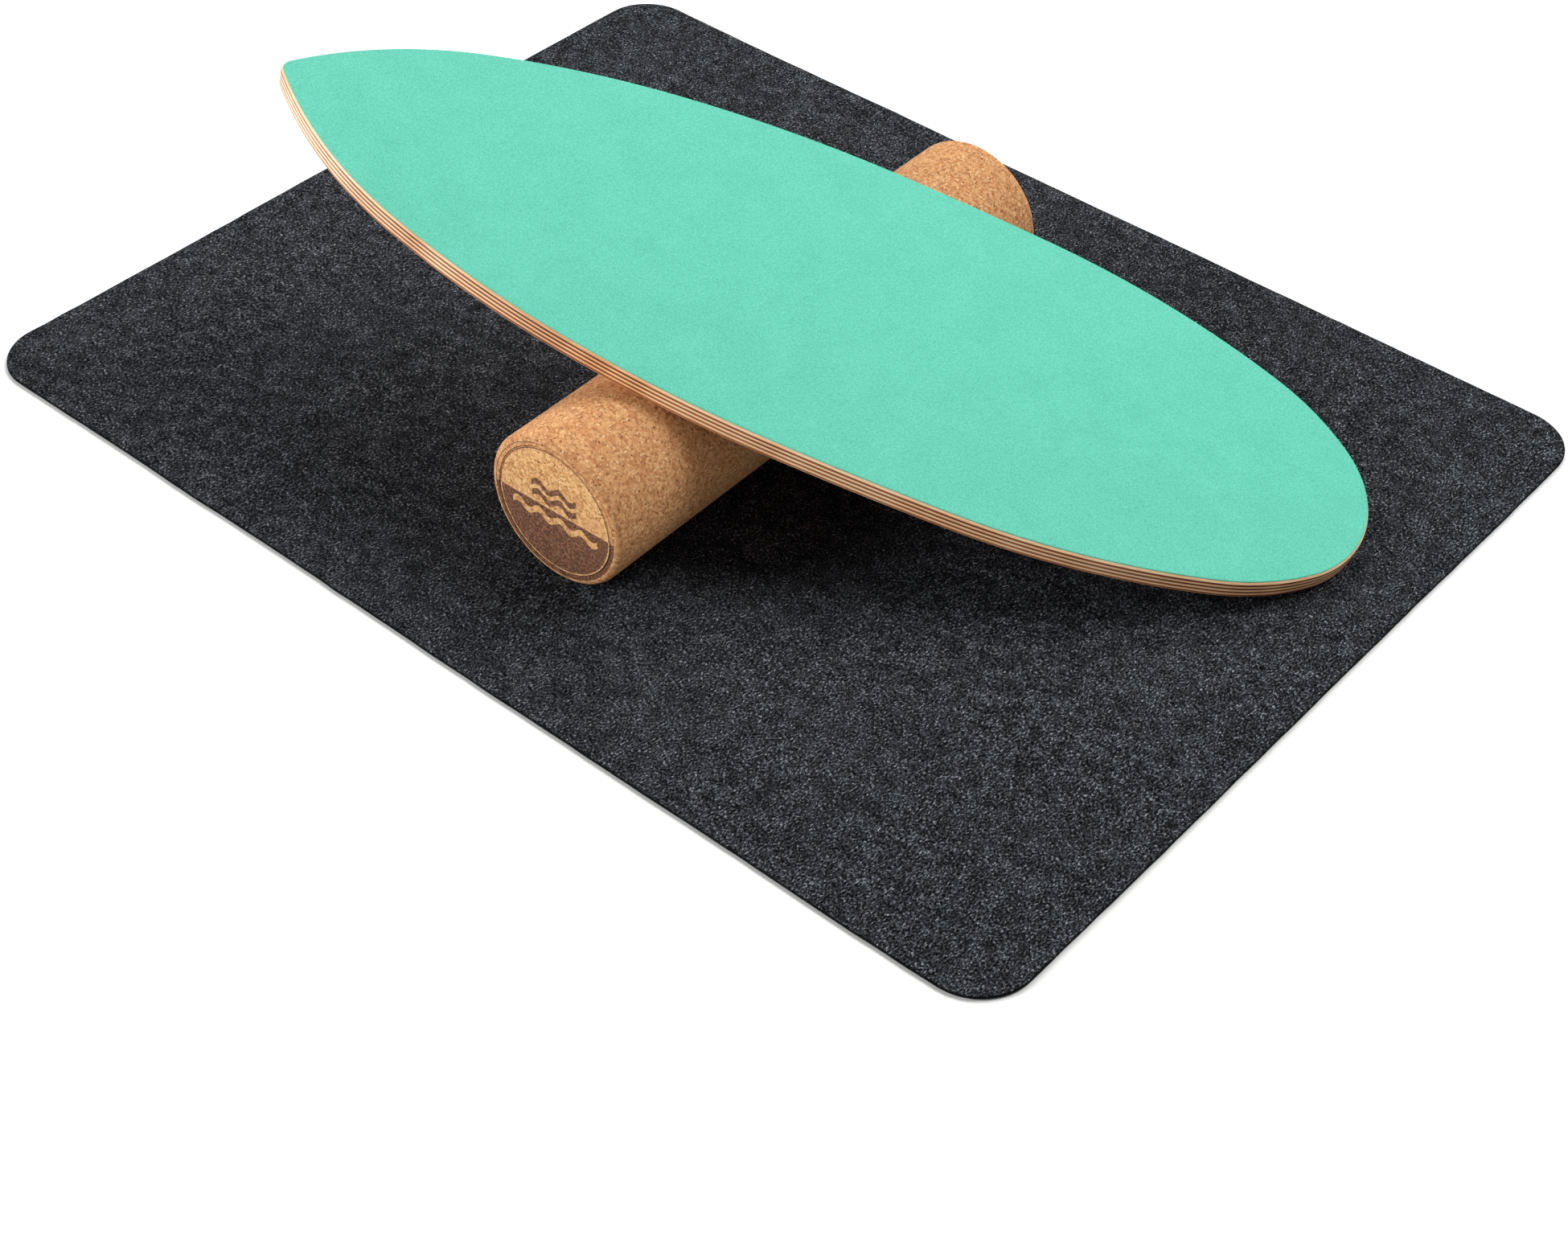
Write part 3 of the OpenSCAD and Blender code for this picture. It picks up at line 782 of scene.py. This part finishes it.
# Its rings start under it on the wood and follow the wood out to its rim, then turn up and in.
coat_rings = []
for z in np.linspace(coat_low - 0.02 * MM, coat_low - COAT_OVER_EDGE, 4):
    coat_rings.append(deck_ring(edge_inset(z), z))
rim = edge_inset(coat_low - COAT_OVER_EDGE)
for t in np.linspace(0, math.pi / 2, 6):
    coat_rings.append(deck_ring(rim - 0.05 * MM + COAT_ROUND * (1 - math.cos(t)),
                                coat_high - (coat_high - coat_low) * (1 - math.sin(t))))
grip_coat = stack("grip_coat", coat_rings, coat, deck_place)
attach(grip_coat, "deck")
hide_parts("deck_grip_coat")

# Under the deck two beech stop bars, each with a rubber strip towards the roller, are held by
# two button-head screws in brass inserts. Every edge is eased a little.


def eased(name, node, width, material):
    """A piece with a CAD node's shape, its sharp edges rounded by width."""
    mesh = frame["nodes"][node].data.copy()
    mesh.name = name
    piece = bpy.data.objects.new(name, mesh)
    bpy.context.scene.collection.objects.link(piece)
    weld = piece.modifiers.new("weld", "WELD")
    weld.merge_threshold = 0.005 * MM
    flat = piece.modifiers.new("flat", "DECIMATE")
    flat.decimate_type = "DISSOLVE"
    flat.angle_limit = math.radians(1)
    bevel = piece.modifiers.new("bevel", "BEVEL")
    bevel.width = width
    bevel.segments = 3
    bevel.limit_method = "ANGLE"
    bevel.angle_limit = math.radians(35)
    bpy.context.view_layer.update()
    shaped = piece.evaluated_get(bpy.context.evaluated_depsgraph_get())
    piece.data = bpy.data.meshes.new_from_object(shaped)
    piece.modifiers.clear()
    piece.data.materials.clear()
    piece.data.materials.append(material)
    piece.data.shade_smooth()
    piece.data.set_sharp_from_angle(angle=math.radians(30))
    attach(piece, "deck")
    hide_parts(node)


# Beech, planed and oiled: pinkish tan with short dark flecks 2 mm long along the bar.
beech, beech_shader = start("oiled_beech", 0.42, IOR=1.5)
beech_place = add(beech, "TexCoord").outputs["Object"]
beech_turn = deck_place.to_euler()
beech_local = add(beech, "Mapping", {"Vector": beech_place, "Rotation": beech_turn,
                                     "Location": deck_place.translation},
                  vector_type="TEXTURE")
beech_lie = add(beech, "Mapping", {"Vector": beech_local.outputs["Vector"],
                                   "Scale": (260, 18, 260)})
beech_grain = add(beech, "TexNoise", {"Vector": beech_lie.outputs["Vector"], "Scale": 1,
                                      "Detail": 5, "Roughness": 0.55})
beech_fleck_lie = add(beech, "Mapping", {"Vector": beech_local.outputs["Vector"],
                                         "Scale": (2200, 420, 2200)})
beech_fleck = add(beech, "TexVoronoi", {"Vector": beech_fleck_lie.outputs["Vector"],
                                        "Scale": 1})
beech_dash = add(beech, "MapRange", {"Value": beech_fleck.outputs["Distance"],
                                     "From Min": 0.1, "From Max": 0.3, "To Min": 0.5,
                                     "To Max": 0})
beech_tone = add(beech, "ValToRGB", {"Fac": beech_grain.outputs["Fac"]},
                 stops=((0.3, "#b5804c"), (0.7, "#d8aa74"), (0.5, "#c89660")))
beech_all = add(beech, "Mix", {0: beech_dash.outputs[0], 6: beech_tone.outputs["Color"],
                               7: linear("#8a5a34")}, data_type="RGBA")
join(beech, beech_all.outputs[2], beech_shader.inputs["Base Color"])

# Moulded rubber: near black and dull, with a bloom of paler dust in patches 5 mm wide.
rubber, rubber_shader = start("moulded_rubber", 0.7, IOR=1.52)
rubber_place = add(rubber, "TexCoord").outputs["Object"]
rubber_bloom = add(rubber, "TexNoise", {"Vector": rubber_place, "Scale": 180, "Detail": 5})
rubber_tone = add(rubber, "ValToRGB", {"Fac": rubber_bloom.outputs["Fac"]},
                  stops=((0.35, "#1d1d1f"), (0.75, "#38383a")))
rubber_grain = add(rubber, "TexNoise", {"Vector": rubber_place, "Scale": 2200})
rubber_relief = add(rubber, "Bump", {"Height": rubber_grain.outputs["Fac"], "Strength": 0.2,
                                     "Distance": 0.1 * MM})
join(rubber, rubber_tone.outputs["Color"], rubber_shader.inputs["Base Color"])
join(rubber, rubber_relief.outputs["Normal"], rubber_shader.inputs["Normal"])

# The screws are steel plated with bright zinc and the inserts turned brass: a metal shine,
# broken by fine marks about half a millimetre apart.


def metal(name, low, high, roughness):
    bare, shader = start(name, roughness, Metallic=1.0)
    place = add(bare, "TexCoord").outputs["Object"]
    marks = add(bare, "TexNoise", {"Vector": place, "Scale": 1800, "Detail": 3})
    tone = add(bare, "ValToRGB", {"Fac": marks.outputs["Fac"]}, stops=((0.3, low), (0.7, high)))
    relief = add(bare, "Bump", {"Height": marks.outputs["Fac"], "Strength": 0.15,
                                "Distance": 0.05 * MM})
    join(bare, tone.outputs["Color"], shader.inputs["Base Color"])
    join(bare, relief.outputs["Normal"], shader.inputs["Normal"])
    return bare


zinc = metal("zinc_plated_steel", "#b0b3b8", "#cfd1d4", 0.3)
brass = metal("turned_brass", "#b5914a", "#d3b169", 0.28)
for end in ("nose", "tail"):
    eased(f"stop_block_{end}", f"stop_bar_{end}", 1.2 * MM, beech)
    eased(f"stop_strip_{end}", f"stop_cushion_{end}", 0.5 * MM, rubber)
    eased(f"button_screws_{end}", f"stop_screws_{end}", 0.35 * MM, zinc)
    eased(f"brass_inserts_{end}", f"stop_inserts_{end}", 0.15 * MM, brass)
